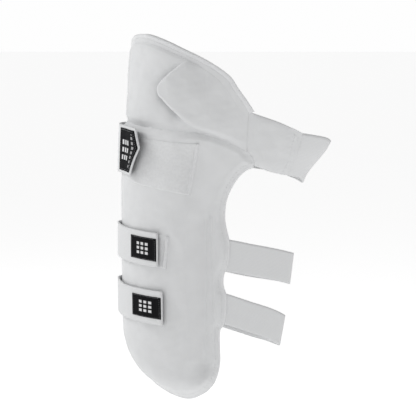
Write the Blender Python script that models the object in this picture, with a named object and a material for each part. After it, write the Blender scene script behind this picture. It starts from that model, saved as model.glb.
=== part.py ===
"""Cricket thigh guard with a hip guard, for the outside of the left thigh.

Metres. +Z runs up the thigh, -X is the front of the leg and -Y is its outer side. The origin is on the
thigh's axis at the level of the middle strap. Places on the guard are given as a turn in degrees, which is
0 at the outer side, 90 at the front and -90 at the back, a height, and a lift above the thigh's surface.
"""

import math

import bmesh
import bpy
from mathutils import Vector

# ---- Driving dimensions ----

# The thigh the guard is shaped on: height, then its reach to the front, to the back and to each side.
THIGH = (
    (-0.170, 0.080, 0.066, 0.078),
    (-0.060, 0.084, 0.086, 0.085),
    (0.060, 0.084, 0.101, 0.090),
    (0.100, 0.084, 0.108, 0.093),
    (0.140, 0.083, 0.137, 0.097),
    (0.200, 0.080, 0.152, 0.102),
    (0.275, 0.076, 0.146, 0.103),
)
UNROLL_RADIUS = 0.105  # turns are laid out flat at this radius when edges and distances are worked out

# The outlines, as turn and height. Tops and bottoms run from the front to the rear, sides run upwards.
MAIN_TOP = ((116, 0.166), (87, 0.1645), (56, 0.160), (25, 0.157), (8, 0.154), (-6, 0.146), (-21, 0.133))
MAIN_REAR = (
    (0, -0.134),
    (-4, -0.109),
    (-4, -0.076),
    (-8, -0.060),
    (-9, -0.036),
    (-6, -0.016),
    (-8, 0.001),
    (-10, 0.034),
    (-7.5, 0.062),
    (-11, 0.093),
    (-18, 0.111),
    (-24, 0.119),
    (-21, 0.133),
)
MAIN_BOTTOM = ((104, -0.086), (86, -0.113), (55, -0.136), (32, -0.150), (16, -0.153), (0, -0.134))
MAIN_FRONT = ((104, -0.086), (114, -0.050), (117, 0.0), (117, 0.080), (116, 0.166))
CORE_EDGE = (  # of the raised padding, from the top of the rear side round the bottom to the front
    (-15, 0.142),
    (-9, 0.127),
    (-3, 0.107),
    (2, 0.083),
    (3, 0.050),
    (3, -0.080),
    (5, -0.116),
    (10, -0.135),
    (18, -0.143),
    (32, -0.141),
    (54, -0.128),
    (84, -0.105),
    (101, -0.080),
    (110, -0.048),
    (113, 0.0),
    (113, 0.080),
    (112, 0.166),
)
HIP_BOTTOM = ((90, 0.172), (60, 0.167), (30, 0.1635), (8, 0.160), (-6, 0.152), (-20.5, 0.139))
HIP_TOP = (
    (90, 0.259),
    (72, 0.267),
    (54, 0.272),
    (38, 0.269),
    (16, 0.251),
    (3, 0.238),
    (-8, 0.221),
    (-14, 0.203),
    (-20.5, 0.185),
)
HIP_REAR = ((-20.5, 0.139), (-20.5, 0.185))
HIP_FRONT = ((90, 0.172), (91, 0.210), (90, 0.259))
BOLSTER_TOP = ((30, 0.227), (11, 0.242), (0, 0.232), (-8, 0.216), (-13, 0.200), (-19.8, 0.184))
BOLSTER_BOTTOM = ((34, 0.198), (27, 0.183), (15, 0.168), (0, 0.156), (-11, 0.149), (-19.8, 0.140))
BOLSTER_FRONT = ((34, 0.198), (36, 0.208), (30, 0.227))
BOLSTER_REAR = ((-19.8, 0.140), (-19.8, 0.184))
WING_TOP = ((-22, 0.184), (-38, 0.171), (-51, 0.157))
WING_BOTTOM = ((-27, 0.120), (-38, 0.112), (-50, 0.108))
WING_FRONT = ((-27, 0.120), (-22.5, 0.138), (-22, 0.184))
WING_REAR = ((-50, 0.108), (-51, 0.157))
GROOVE_TOP = ((86, 0.178), (56, 0.174), (30, 0.171), (8, 0.166), (-6, 0.158), (-17, 0.149))
GROOVE_BOTTOM = ((86, 0.158), (56, 0.153), (30, 0.150), (8, 0.147), (-6, 0.138), (-17, 0.130))

# The padding's build-up, as lifts above the thigh.
CLEARANCE = 0.0005  # between pieces that lie on each other
LINING_LIFT = 0.0020
LINING_MARGIN = 0.0010
FABRIC = 0.0012  # covers, linings
FLANGE_LIFT = 0.0056  # outer face of the sewn edge
MAIN_LIFT = 0.0265  # outer face over the main core
HIP_LIFT = 0.0215
BOLSTER_BASE = 0.0028  # the bolster's lower face above the hip cover
BOLSTER_RISE = 0.0110
COMFORT_FOAM = (0.0042, 0.0080)
IMPACT_PLATE = (0.0090, 0.0112)
CORE_BASE = 0.0122
CORE_COVER_GAP = 0.0018  # foam to the cover stretched over it
HIP_CORE_GAP = 0.0030
BOLSTER_FOAM_MARGIN = 0.012
FLEX_STRIP = (0.0002, 0.0010)
WING_FOAM = (0.0038, 0.0056)
WING_FOAM_MARGIN = 0.005
WING_COVER = (0.0062, 0.0074)
FOAM_MARGIN = 0.030  # from the guard's edge to the edge of the foams and the plate
SLOPE_WIDTH = 0.030
TOP_ROUND = 0.010
HIP_SLOPE = 0.018
BOLSTER_SLOPE = 0.013
BINDING_RADIUS = 0.0020
BINDING_LIFT = 0.0040
BINDING_GAP = 0.0016  # from the edge of the cover
BINDING_STEP = 0.010
BINDING_TOP = 0.115  # the main section's rear edge is sewn to the wing above this height

# The three straps. A strap runs from its root back round the thigh, along the inner thigh and over the
# pad's front, so its turns fall all the way. Heights give its centre line at turns along it.
STRAP_LIFTS = (  # turn, then the lift of a strap's inner face: on the thigh, then stretched over the pad
    (-13, 0.0030),
    (-36, 0.0026),
    (-205, 0.0026),
    (-215, 0.0030),
    (-222, 0.0038),
    (-230, 0.0062),
    (-240, 0.0120),
    (-250, 0.0205),
    (-260, 0.0290),
    (-272, 0.0325),
    (-290, 0.0302),
    (-330, 0.0300),
)
ELASTIC_THICKNESS = 0.0016
TAB_THICKNESS = 0.0018
FOLD_GAP_DEG = 0.7  # on each side of a strap's fold line
SWING_TURN = -180  # the fold line on the inner thigh
PEEL_TURN = -264  # the fold line at the front of the pad
STRAPS = {
    "upper": {
        "heights": (
            (-51, 0.1330),
            (-70, 0.1260),
            (-90, 0.1180),
            (-112, 0.1205),
            (-135, 0.1265),
            (-180, 0.1340),
            (-230, 0.1370),
            (-272, 0.1370),
            (-314, 0.1345),
        ),
        "root": -52.0,
        "end": -314,
        "elastic_width": 0.050,
        "tab_width": 0.057,
        "patch": ((-280, 0.129), (-351, 0.117), 0.053),
        "label": (-277, -313, 0.1355, 0.044),
        "hook": (-277, -312),
    },
    "middle": {
        "heights": (
            (-13, 0.0145),
            (-36, 0.0060),
            (-87, -0.0115),
            (-135, -0.0150),
            (-165, -0.0105),
            (-200, 0.0040),
            (-235, 0.0200),
            (-272, 0.0265),
            (-290, 0.0245),
            (-327, 0.0220),
        ),
        "root": -13.5,
        "end": -326.5,
        "elastic_width": 0.038,
        "tab_width": 0.040,
        "patch": ((-288, 0.0230), (-333, 0.0195), 0.038),
        "label": (-305, -325, 0.0215, 0.026),
        "hook": (-291, -324),
    },
    "lower": {
        "heights": (
            (-13, -0.0500),
            (-36, -0.0630),
            (-87, -0.0880),
            (-135, -0.0905),
            (-165, -0.0830),
            (-200, -0.0660),
            (-235, -0.0480),
            (-272, -0.0415),
            (-290, -0.0445),
            (-330, -0.0460),
        ),
        "root": -13.5,
        "end": -329.5,
        "elastic_width": 0.036,
        "tab_width": 0.040,
        "patch": ((-288, -0.0450), (-328, -0.0460), 0.037),
        "label": (-305, -327, -0.0460, 0.025),
        "hook": (-291, -327),
    },
}
HOOK_INSET = 0.004
PATCH_LIFT = (0.0008, 0.0016)
HOOK_THICKNESS = 0.0009
LABEL_THICKNESS = 0.0007
PATCH_STEP_DEG = 4.0

WHITE = (0.80, 0.80, 0.81)
COLOURS = {
    "cover": (WHITE, 0.75),
    "lining": ((0.74, 0.74, 0.75), 0.95),
    "foam": ((0.55, 0.58, 0.62), 0.9),
    "plate": ((0.10, 0.10, 0.11), 0.45),
    "binding": ((0.83, 0.83, 0.84), 0.7),
    "elastic": ((0.82, 0.82, 0.83), 0.85),
    "patch": ((0.78, 0.78, 0.79), 0.95),
    "hook": ((0.72, 0.72, 0.73), 0.6),
    "label": ((0.02, 0.02, 0.022), 0.7),
}


# ---- The thigh's surface ----


def smooth_value(table, position, column):
    """A column of the table at a position in its first column, on a smooth curve."""
    position = min(max(position, table[0][0]), table[-1][0])
    last = len(table) - 1
    row = next(i for i in range(last) if position <= table[i + 1][0])
    low, high = table[row], table[row + 1]
    before, after = table[max(row - 1, 0)], table[min(row + 2, last)]
    span = high[0] - low[0]
    slope_low = (high[column] - before[column]) / (high[0] - before[0])
    slope_high = (after[column] - low[column]) / (after[0] - low[0])
    t = (position - low[0]) / span
    return (
        (2 * t**3 - 3 * t**2 + 1) * low[column]
        + (t**3 - 2 * t**2 + t) * span * slope_low
        + (3 * t**2 - 2 * t**3) * high[column]
        + (t**3 - t**2) * span * slope_high
    )


def thigh_radius(turn, height):
    """Distance from the axis to the thigh's surface: an ellipse whose centre lies towards the back."""
    front, back, side = (smooth_value(THIGH, height, column) for column in (1, 2, 3))
    centre = (back - front) / 2
    half = (back + front) / 2
    sine, cosine = math.sin(math.radians(turn)), math.cos(math.radians(turn))
    square = (sine / half) ** 2 + (cosine / side) ** 2
    linear = 2 * sine * centre / half**2
    rest = (centre / half) ** 2 - 1
    return (math.sqrt(linear**2 - 4 * square * rest) - linear) / (2 * square)


def on_thigh(turn, height, lift):
    """The point at a turn and a height, lifted off the thigh's surface."""
    radius = thigh_radius(turn, height) + lift
    return Vector((-radius * math.sin(math.radians(turn)), -radius * math.cos(math.radians(turn)), height))


# ---- Outlines laid out flat ----


def laid_flat(points):
    """Turns and heights as points of a flat sheet."""
    return [Vector((math.radians(turn) * UNROLL_RADIUS, height)) for turn, height in points]


def turn_and_height(point):
    return math.degrees(point.x / UNROLL_RADIUS), point.y


def smooth_line(points, per_span=6):
    """Samples of a smooth line through the points."""
    line = []
    for index in range(len(points) - 1):
        start, end = points[index], points[index + 1]
        before = points[max(index - 1, 0)]
        after = points[min(index + 2, len(points) - 1)]
        for step in range(per_span):
            t = step / per_span
            line.append(
                start * (2 * t**3 - 3 * t**2 + 1)
                + (end - before) * 0.5 * (t**3 - 2 * t**2 + t)
                + end * (3 * t**2 - 2 * t**3)
                + (after - start) * 0.5 * (t**3 - t**2)
            )
    line.append(points[-1])
    return line


def along(line, share):
    """The point at a share of a line's length."""
    lengths = [(b - a).length for a, b in zip(line, line[1:])]
    left = share * sum(lengths)
    for index, length in enumerate(lengths):
        if left <= length:
            return line[index].lerp(line[index + 1], left / length)
        left -= length
    return line[-1]


def distance_to_line(point, line):
    """The shortest distance from a point of the flat sheet to a line."""
    best = 1.0
    for start, end in zip(line, line[1:]):
        run = end - start
        t = min(max((point - start).dot(run) / run.length_squared, 0), 1)
        best = min(best, (point - start - run * t).length)
    return best


def eased(value):
    value = min(max(value, 0), 1)
    return value * value * (3 - 2 * value)


class Patch:
    """A piece of the flat sheet between four smooth edges, read by two shares from front to rear and up."""

    def __init__(self, bottom, top, front, rear):
        self.bottom, self.top, self.front, self.rear = (
            smooth_line(laid_flat(edge)) for edge in (bottom, top, front, rear)
        )

    def at(self, across, up):
        bottom, top = along(self.bottom, across), along(self.top, across)
        front, rear = along(self.front, up), along(self.rear, up)
        corners = (self.bottom[0].lerp(self.bottom[-1], across)).lerp(
            self.top[0].lerp(self.top[-1], across), up
        )
        return bottom.lerp(top, up) + front.lerp(rear, across) - corners

    def inset(self, margin, across, up):
        """As at, in a patch that is smaller by a margin on each edge."""
        width = (self.front[0] - self.rear[0]).length
        height = (self.top[0] - self.bottom[0]).length
        left, low = margin / width, margin / height
        return self.at(left + across * (1 - 2 * left), low + up * (1 - 2 * low))


MAIN = Patch(MAIN_BOTTOM, MAIN_TOP, MAIN_FRONT, MAIN_REAR)
HIP = Patch(HIP_BOTTOM, HIP_TOP, HIP_FRONT, HIP_REAR)
BOLSTER = Patch(BOLSTER_BOTTOM, BOLSTER_TOP, BOLSTER_FRONT, BOLSTER_REAR)
WING = Patch(WING_BOTTOM, WING_TOP, WING_FRONT, WING_REAR)
GROOVE = Patch(
    GROOVE_BOTTOM,
    GROOVE_TOP,
    (GROOVE_BOTTOM[0], GROOVE_TOP[0]),
    (GROOVE_BOTTOM[-1], GROOVE_TOP[-1]),
)


def rounded(value):
    """A quarter round, from 0 at 0 to 1 at 1."""
    value = min(max(value, 0), 1)
    return math.sqrt(1 - (1 - value) ** 2)


def distance_inside(point, line):
    """The distance from a line to a point on its left, and 0 on its right."""
    nearest, inside = 1.0, False
    for start, end in zip(line, line[1:]):
        run = end - start
        t = min(max((point - start).dot(run) / run.length_squared, 0), 1)
        distance = (point - start - run * t).length
        if distance < nearest:
            nearest, inside = distance, run.x * (point.y - start.y) > run.y * (point.x - start.x)
    return nearest if inside else 0.0


CORE_LINE = smooth_line(laid_flat(CORE_EDGE))


def main_outer(point):
    """Lift of the main cover: a sewn edge, a slope up to the core, and a rounded top end."""
    side = distance_inside(point, CORE_LINE) / SLOPE_WIDTH
    top = distance_to_line(point, MAIN.top) / TOP_ROUND
    return FLANGE_LIFT + (MAIN_LIFT - FLANGE_LIFT) * rounded(side) * rounded(top)


def hip_outer(point):
    edges = (HIP.front, HIP.top, HIP.bottom, HIP.rear)
    edge = min(distance_to_line(point, edge) for edge in edges)
    return FLANGE_LIFT + (HIP_LIFT - FLANGE_LIFT) * eased(edge / HIP_SLOPE)


def bolster_rise(point):
    """Height of the bolster above the hip cover, full away from its edges."""
    edges = (BOLSTER.front, BOLSTER.top, BOLSTER.bottom, BOLSTER.rear)
    edge = min(distance_to_line(point, edge) for edge in edges)
    return BOLSTER_RISE * math.sqrt(eased(edge / BOLSTER_SLOPE))


# ---- Making solids ----


def material_for(slot):
    name = f"{slot}_material"
    material = bpy.data.materials.get(name)
    if material is None:
        colour, roughness = COLOURS[slot]
        material = bpy.data.materials.new(name)
        material.use_nodes = True
        shader = material.node_tree.nodes["Principled BSDF"]
        shader.inputs["Base Color"].default_value = (*colour, 1)
        shader.inputs["Roughness"].default_value = roughness
        shader.inputs["Metallic"].default_value = 0
    return material


def finish_object(name, data, slot, parent):
    """An object for the mesh or curve, under the empty on its joint's axis."""
    piece = bpy.data.objects.new(name, data)
    data.materials.append(material_for(slot))
    bpy.data.collections["thigh_guard"].objects.link(piece)
    if parent is not None:
        piece.parent = parent
    return piece


def slab(name, slot, columns, rows, place, inner, outer, parent=None, crowd=0.0):
    """A sheet of padding, fabric or plate, closed all round.

    place(across, up) gives a point of the flat sheet, and inner and outer give the lifts of its two faces.
    crowd from 0 to 1 draws the rows and columns towards the edges.
    """
    mesh_data = bmesh.new()
    bmesh.ops.create_grid(mesh_data, x_segments=columns, y_segments=rows, size=0.5)
    sheet = mesh_data.faces[:]
    doubled = bmesh.ops.extrude_face_region(mesh_data, geom=sheet, use_keep_orig=True)
    raised = {vertex for vertex in doubled["geom"] if isinstance(vertex, bmesh.types.BMVert)}
    pivot = parent.location if parent is not None else Vector((0, 0, 0))
    for vertex in mesh_data.verts:
        across, up = vertex.co.x + 0.5, vertex.co.y + 0.5
        across -= crowd * math.sin(2 * math.pi * across) / (2 * math.pi)
        up -= crowd * math.sin(2 * math.pi * up) / (2 * math.pi)
        point = place(across, up)
        lift = outer(point) if vertex in raised else inner(point)
        vertex.co = on_thigh(*turn_and_height(point), lift) - pivot
    mesh = bpy.data.meshes.new(name)
    mesh_data.to_mesh(mesh)
    mesh_data.free()
    mesh.shade_smooth()
    mesh.set_sharp_from_angle(angle=math.radians(40))
    return finish_object(name, mesh, slot, parent)


def padded_slab(name, slot, patch, columns, rows, inner, outer, margin=0.0, parent=None, crowd=0.5):
    """A slab that fills a patch, less a margin, with its rows and columns closest near the edges."""

    def place(across, up):
        return patch.inset(margin, across, up)

    return slab(name, slot, columns, rows, place, inner, outer, parent, crowd)


def level(lift):
    """A face at one lift all over."""
    return lambda point: lift


def edge_binding(name, edges, parent=None):
    """A round binding along the outside of an open run of edges, mitred at the corners between them."""
    steps = []
    for edge in edges:
        length = sum((b - a).length for a, b in zip(edge, edge[1:]))
        count = math.ceil(length / BINDING_STEP)
        samples = [along(edge, index / count) for index in range(count + 1)]
        steps.extend(samples if not steps else samples[1:])
    last = len(steps) - 1
    pivot = parent.location if parent is not None else Vector((0, 0, 0))
    curve = bpy.data.curves.new(name, "CURVE")
    curve.dimensions = "3D"
    curve.bevel_depth = BINDING_RADIUS
    curve.bevel_resolution = 1
    curve.use_fill_caps = True
    spline = curve.splines.new("POLY")
    spline.points.add(last)
    for index, step in enumerate(steps):
        arriving = (steps[max(index, 1)] - steps[max(index, 1) - 1]).normalized()
        leaving = (steps[min(index, last - 1) + 1] - steps[min(index, last - 1)]).normalized()
        heading = (arriving + leaving).normalized()
        outwards = Vector((heading.y, -heading.x)) / heading.dot(arriving)
        beside = step + outwards * (BINDING_RADIUS + BINDING_GAP)
        spline.points[index].co = (*(on_thigh(*turn_and_height(beside), BINDING_LIFT) - pivot), 1)
    return finish_object(name, curve, "binding", parent)


def joint_empty(name, location):
    """An empty on a joint's axis, which the moving pieces hang on."""
    empty = bpy.data.objects.new(name, None)
    empty.location = location
    bpy.data.collections["thigh_guard"].objects.link(empty)
    return empty


# ---- The guard's pieces ----


def build_main():
    """Thigh section: lining, comfort foam, impact plate, foam core, cover and edge binding."""
    lining_faces = level(LINING_LIFT), level(LINING_LIFT + FABRIC)
    padded_slab("main_lining", "lining", MAIN, 16, 20, *lining_faces, margin=LINING_MARGIN, crowd=0.2)
    padded_slab("main_comfort_foam", "foam", MAIN, 10, 10, *map(level, COMFORT_FOAM), margin=FOAM_MARGIN)
    padded_slab("impact_plate", "plate", MAIN, 10, 10, *map(level, IMPACT_PLATE), margin=FOAM_MARGIN)
    padded_slab(
        "main_foam_core",
        "foam",
        MAIN,
        12,
        12,
        level(CORE_BASE),
        lambda point: main_outer(point) - FABRIC - CORE_COVER_GAP,
        margin=FOAM_MARGIN,
    )
    padded_slab(
        "main_cover",
        "cover",
        MAIN,
        20,
        24,
        lambda point: main_outer(point) - FABRIC,
        main_outer,
        crowd=0.55,
    )
    rear = [point for point in MAIN.rear if point.y < BINDING_TOP]
    edge_binding("main_edge_binding", (rear[::-1], MAIN.bottom[::-1], MAIN.front))


def build_hip(parent):
    """Hip section: a padded panel with a raised bolster sewn on its rear half."""
    lining_faces = level(LINING_LIFT), level(LINING_LIFT + FABRIC)
    padded_slab("hip_lining", "lining", HIP, 14, 6, *lining_faces, 0, parent, crowd=0.2)
    padded_slab(
        "hip_foam_core",
        "foam",
        HIP,
        12,
        8,
        level(COMFORT_FOAM[0]),
        lambda point: hip_outer(point) - FABRIC - HIP_CORE_GAP,
        HIP_SLOPE,
        parent,
    )
    padded_slab(
        "hip_cover",
        "cover",
        HIP,
        16,
        10,
        lambda point: hip_outer(point) - FABRIC,
        hip_outer,
        0,
        parent,
        crowd=0.65,
    )
    base = BOLSTER_BASE
    padded_slab(
        "hip_bolster_foam",
        "foam",
        BOLSTER,
        8,
        6,
        lambda point: hip_outer(point) + base,
        lambda point: hip_outer(point) + bolster_rise(point) - FABRIC - CORE_COVER_GAP,
        BOLSTER_FOAM_MARGIN,
        parent,
    )
    padded_slab(
        "hip_bolster_cover",
        "cover",
        BOLSTER,
        14,
        8,
        lambda point: hip_outer(point) + base + max(bolster_rise(point) - base - FABRIC, 0),
        lambda point: hip_outer(point) + base + FABRIC + max(bolster_rise(point) - base - FABRIC, 0),
        0,
        parent,
    )
    edge_binding("hip_edge_binding", (HIP.front, HIP.top), parent)


def build_wing():
    """Soft tab that carries the upper elastic, and the strip that joins the two padded sections."""
    padded_slab("wing_lining", "lining", WING, 6, 5, level(LINING_LIFT), level(LINING_LIFT + FABRIC))
    padded_slab("wing_foam", "foam", WING, 5, 4, *map(level, WING_FOAM), margin=WING_FOAM_MARGIN)
    padded_slab("wing_cover", "cover", WING, 6, 5, *map(level, WING_COVER))
    slab("flex_seam_strip", "lining", 12, 1, GROOVE.at, *map(level, FLEX_STRIP))


def strap_lift(turn):
    return smooth_value(STRAP_LIFTS[::-1], turn, 1)


def band(name, slot, heights, turns, width, lifts, parent=None, step_deg=7.0, offset=0.0):
    """A length of webbing between two turns of a strap, with its inner and outer lift above the strap's."""
    start, end = turns
    columns = max(2, math.ceil(abs(end - start) / step_deg))

    def place(across, up):
        turn = start + (end - start) * across
        centre = smooth_value(heights[::-1], turn, 1) + offset
        return Vector((math.radians(turn) * UNROLL_RADIUS, centre + (up - 0.5) * width))

    def lifted(amount):
        return lambda point: strap_lift(turn_and_height(point)[0]) + amount

    return slab(name, slot, columns, 1, place, lifted(lifts[0]), lifted(lifts[1]), parent)


def on_cover(name, slot, start, end, width, lifts):
    """A flat patch on the main cover, between two turns with their heights."""
    full_turn = Vector((2 * math.pi * UNROLL_RADIUS, 0))

    def place(across, up):
        turn = start[0] + (end[0] - start[0]) * across
        height = start[1] + (end[1] - start[1]) * across
        return Vector((math.radians(turn) * UNROLL_RADIUS, height + (up - 0.5) * width))

    def lifted(amount):
        return lambda point: main_outer(point + full_turn) + amount

    columns = max(2, math.ceil(abs(end[0] - start[0]) / PATCH_STEP_DEG))
    return slab(name, slot, columns, 6, place, lifted(lifts[0]), lifted(lifts[1]))


def build_strap(name, strap):
    """Elastic from its root round the thigh, and the tab with its hooks and label on the loop patch."""
    heights = strap["heights"]
    pivots = {}
    for joint, turn in (("swing", SWING_TURN), ("peel", PEEL_TURN)):
        height = smooth_value(heights[::-1], turn, 1)
        middle = on_thigh(turn, height, strap_lift(turn) + ELASTIC_THICKNESS / 2)
        pivots[joint] = joint_empty(f"{name}_{joint}_axis", middle)
    swing, peel = pivots["swing"], pivots["peel"]
    elastic, tab = (0, ELASTIC_THICKNESS), (0, TAB_THICKNESS)
    width, tab_width = strap["elastic_width"], strap["tab_width"]
    back = (strap["root"], SWING_TURN + FOLD_GAP_DEG)
    front = (SWING_TURN - FOLD_GAP_DEG, PEEL_TURN + FOLD_GAP_DEG)
    end = (PEEL_TURN - FOLD_GAP_DEG, strap["end"])
    band(f"{name}_elastic_back", "elastic", heights, back, width, elastic)
    band(f"{name}_elastic_front", "elastic", heights, front, width, elastic, swing)
    band(f"{name}_tab_webbing", "elastic", heights, end, tab_width, tab, peel, PATCH_STEP_DEG)
    hook_faces = (-CLEARANCE - HOOK_THICKNESS, -CLEARANCE)
    hook_width = tab_width - 2 * HOOK_INSET
    band(f"{name}_hook_patch", "hook", heights, strap["hook"], hook_width, hook_faces, peel, PATCH_STEP_DEG)
    start, end, height, label_width = strap["label"]
    face = TAB_THICKNESS + CLEARANCE
    label_faces = (face, face + LABEL_THICKNESS)
    offset = height - smooth_value(heights[::-1], (start + end) / 2, 1)
    label = (f"{name}_label", "label", heights, (start, end), label_width, label_faces)
    band(*label, peel, PATCH_STEP_DEG, offset)
    on_cover(f"{name}_loop_patch", "patch", *strap["patch"], PATCH_LIFT)


def main():
    for old in list(bpy.data.objects):
        bpy.data.objects.remove(old, do_unlink=True)
    collection = bpy.data.collections.new("thigh_guard")
    bpy.context.scene.collection.children.link(collection)
    hip_axis = joint_empty("hip_flex_axis", on_thigh(48, 0.164, MAIN_LIFT))
    build_main()
    build_hip(hip_axis)
    build_wing()
    for name, strap in STRAPS.items():
        build_strap(name, strap)


main()
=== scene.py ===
"""Looks of a cricket thigh guard with a hip guard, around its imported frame.

Metres. +Z runs up the thigh, -X is the front of the leg and -Y is its outer side. A place on the guard is a
point of a flat sheet wrapped round the thigh: its first number is the turn, 0 at the outer side and growing
towards the front, times UNROLL_RADIUS, and its second is the height. A lift stands off the thigh's surface.
"""

import math

import bpy
import numpy as np
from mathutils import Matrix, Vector


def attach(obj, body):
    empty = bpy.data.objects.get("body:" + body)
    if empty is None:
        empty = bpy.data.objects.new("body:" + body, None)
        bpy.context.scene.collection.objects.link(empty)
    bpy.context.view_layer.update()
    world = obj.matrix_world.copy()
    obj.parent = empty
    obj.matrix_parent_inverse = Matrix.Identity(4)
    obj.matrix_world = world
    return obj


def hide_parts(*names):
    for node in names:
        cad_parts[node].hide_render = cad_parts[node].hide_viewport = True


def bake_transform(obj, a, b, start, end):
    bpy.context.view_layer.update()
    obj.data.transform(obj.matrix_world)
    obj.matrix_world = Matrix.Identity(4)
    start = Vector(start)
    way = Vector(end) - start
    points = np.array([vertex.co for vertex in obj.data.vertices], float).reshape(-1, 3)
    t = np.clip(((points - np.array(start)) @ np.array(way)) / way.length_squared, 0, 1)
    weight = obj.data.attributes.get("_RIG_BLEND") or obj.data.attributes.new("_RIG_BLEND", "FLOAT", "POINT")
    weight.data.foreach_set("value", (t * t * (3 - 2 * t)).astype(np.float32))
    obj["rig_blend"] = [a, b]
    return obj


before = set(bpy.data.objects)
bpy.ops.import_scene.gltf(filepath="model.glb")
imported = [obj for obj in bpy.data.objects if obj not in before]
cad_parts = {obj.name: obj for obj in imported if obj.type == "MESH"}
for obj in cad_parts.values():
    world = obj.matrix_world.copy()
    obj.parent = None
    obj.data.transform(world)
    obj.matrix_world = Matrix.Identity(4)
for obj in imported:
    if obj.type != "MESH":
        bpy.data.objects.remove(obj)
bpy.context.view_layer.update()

# ---- The design's dimensions ----

THIGH = (  # height, then the reach to the front, to the back and to each side
    (-0.170, 0.080, 0.066, 0.078),
    (-0.060, 0.084, 0.086, 0.085),
    (0.060, 0.084, 0.101, 0.090),
    (0.100, 0.084, 0.108, 0.093),
    (0.140, 0.083, 0.137, 0.097),
    (0.200, 0.080, 0.152, 0.102),
    (0.275, 0.076, 0.146, 0.103),
)
UNROLL_RADIUS = 0.105
SAMPLES_PER_SPAN = 10  # of a smooth line, between two of its points

# The edges and lines below are runs of points: turn in degrees, height.

MAIN_TOP = (
    (112, 0.164), (107, 0.169), (99, 0.1712), (90, 0.1712), (60, 0.1665), (30, 0.1622), (8, 0.1587),
    (-6, 0.151), (-21, 0.1378),
)
MAIN_REAR = (
    (0.1, -0.1365), (-2.3, -0.1281), (-3.8, -0.1184), (-4.5, -0.1088), (-4.2, -0.0968), (-3.9, -0.08),
    (-4.6, -0.0715), (-6.9, -0.0665), (-8.4, -0.057), (-8.8, -0.043), (-8.6, -0.031), (-7.0, -0.0235),
    (-6.3, -0.0157), (-6.9, -0.007), (-9.2, 0.003), (-10.5, 0.014), (-10.8, 0.024), (-10.2, 0.035),
    (-8.6, 0.045), (-7.4, 0.056), (-7.3, 0.067), (-8.0, 0.078), (-9.6, 0.0875), (-12.5, 0.0982),
    (-16.8, 0.1098), (-21.6, 0.1172), (-25.8, 0.1206), (-24.0, 0.13), (-21.0, 0.1378),
)
MAIN_BOTTOM = (
    (104, -0.086), (86, -0.113), (60, -0.1365), (41, -0.1475), (30, -0.1525), (22.5, -0.1545),
    (16, -0.1535), (10, -0.1495), (4.8, -0.1445), (0.1, -0.1365),
)
MAIN_FRONT = (
    (104, -0.086), (114, -0.05), (117, 0.0), (117, 0.08), (117, 0.13), (115.5, 0.153), (112, 0.164),
)
CORE_FOOT = (  # where the thick padding starts to rise from the flange along the rear side, downwards
    (-24, 0.16), (-20, 0.14), (-13, 0.124), (-6, 0.106), (0, 0.084), (3.5, 0.06), (4.5, 0.04),
    (4.5, -0.09), (5.5, -0.115), (8, -0.135), (12, -0.16),
)
FLANGE_CREASE = ((5.0, 0.06), (5.2, 0.04), (5.3, -0.024), (6.2, -0.089), (7.5, -0.112))
FLANGE_RIDGE = ((1.5, 0.06), (0.8, 0.04), (-0.6, -0.025), (-1.0, -0.09), (-0.2, -0.112))
HIP_BOTTOM = ((90, 0.1704), (60, 0.1657), (30, 0.1614), (8, 0.1579), (-6, 0.1502), (-20.5, 0.1374))
HIP_TOP = (
    (89.6, 0.2515), (87.6, 0.2566), (84, 0.2598), (80, 0.2618), (67, 0.266), (54, 0.2668), (42, 0.2632),
    (30, 0.257), (18, 0.2484), (8, 0.2402), (-1, 0.2302), (-8, 0.2192), (-11.5, 0.2086), (-15, 0.1987),
    (-20.5, 0.1835),
)
HIP_REAR = ((-20.5, 0.1374), (-20.5, 0.1835))
HIP_FRONT = ((90, 0.1704), (91, 0.21), (90.8, 0.24), (89.6, 0.2515))
BOLSTER_TOP = (
    (31.2, 0.2214), (25.7, 0.2294), (20.6, 0.2362), (15, 0.2403), (7, 0.234), (-0.4, 0.2246),
    (-6.5, 0.2134), (-10.5, 0.2026), (-14, 0.193), (-20, 0.18),
)
BOLSTER_BOTTOM = (
    (34, 0.199), (31, 0.1938), (26, 0.1848), (20.7, 0.177), (15, 0.169), (8, 0.1615), (0, 0.1565),
    (-8, 0.1505), (-14, 0.145), (-20, 0.14),
)
BOLSTER_FRONT = ((34, 0.199), (35.5, 0.2074), (34.6, 0.2144), (31.2, 0.2214))
BOLSTER_REAR = ((-20, 0.14), (-20, 0.18))
WING_TOP = ((-20.2, 0.1835), (-38, 0.1705), (-52, 0.157))
WING_BOTTOM = ((-25.8, 0.1206), (-38, 0.1125), (-51, 0.1072))
WING_FRONT = ((-25.8, 0.1206), (-24.0, 0.13), (-20.8, 0.1378), (-20.2, 0.16), (-20.2, 0.1835))
WING_REAR = ((-51, 0.1072), (-52, 0.157))

LINING_LIFT, LINING_TOP = 0.0018, 0.0034
VALLEY_DEPTH = 0.0022  # of the soft valley where the hip section is sewn to the thigh section
VALLEY_WIDTH = 0.0085
EDGE_LIFT = 0.0070  # outer face of the thigh section's cover at its sewn edge
FLANGE_CROWN = 0.0040
MAIN_LIFT = 0.0265
HIP_LIFT = 0.0238
SEAM_LIFT = 0.0085  # at the seam between the hip section and the wing
WING_SEAM_TURN = -20.5
WING_CORNER_HEIGHT = 0.1373  # where the thigh section, the hip section and the wing meet
BOLSTER_RISE = 0.0095
WING_LIFT, WING_EDGE_LIFT = 0.0046, 0.0042  # at the end of the wing
WING_SEAM_ROWS = (-49.2, -46.6)  # turns of the seams where the wing holds the upper elastic
HIP_LINE_TURN = 74.0  # the stitched line down the front of the hip section
HIP_END_TURN = 93  # the thigh section's top edge is free past the front of the hip section
RIM_END_TURN = -25.6  # the thigh section's rim ends where the wing is sewn on
BOLSTER_FREE_SPANS = 3  # of the bolster's upper edge, from its front, that stand up from the hip section
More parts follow.
